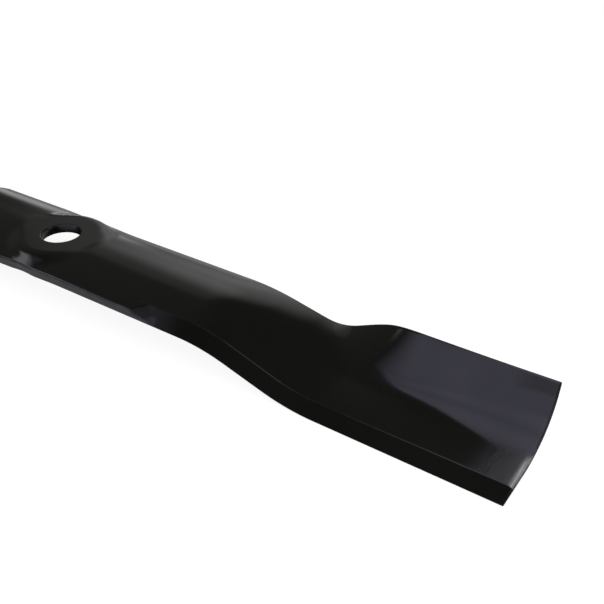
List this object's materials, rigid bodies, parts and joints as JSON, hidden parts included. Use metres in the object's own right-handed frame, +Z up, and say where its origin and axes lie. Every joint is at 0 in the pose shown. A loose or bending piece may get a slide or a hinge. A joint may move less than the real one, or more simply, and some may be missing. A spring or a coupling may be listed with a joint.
{
  "type": "rotary mower blade",
  "caption": "Pressed steel rotary mower blade: an arched bar with a round centre bore on a flat seat, cranked ends, ground leading edges and trailing wings bent up.",
  "frame": {"origin": "middle of the centre bore, on the upper seat face", "axes": "+X along the bar, +Z up along the bore, the side the wings are bent to"},
  "size_m": [0.523, 0.0562, 0.0288],
  "materials": {
    "painted_steel": "gloss black stoving paint"
  },
  "bodies": {
    "root": {"blade": "painted_steel"}
  },
  "joints": []
}
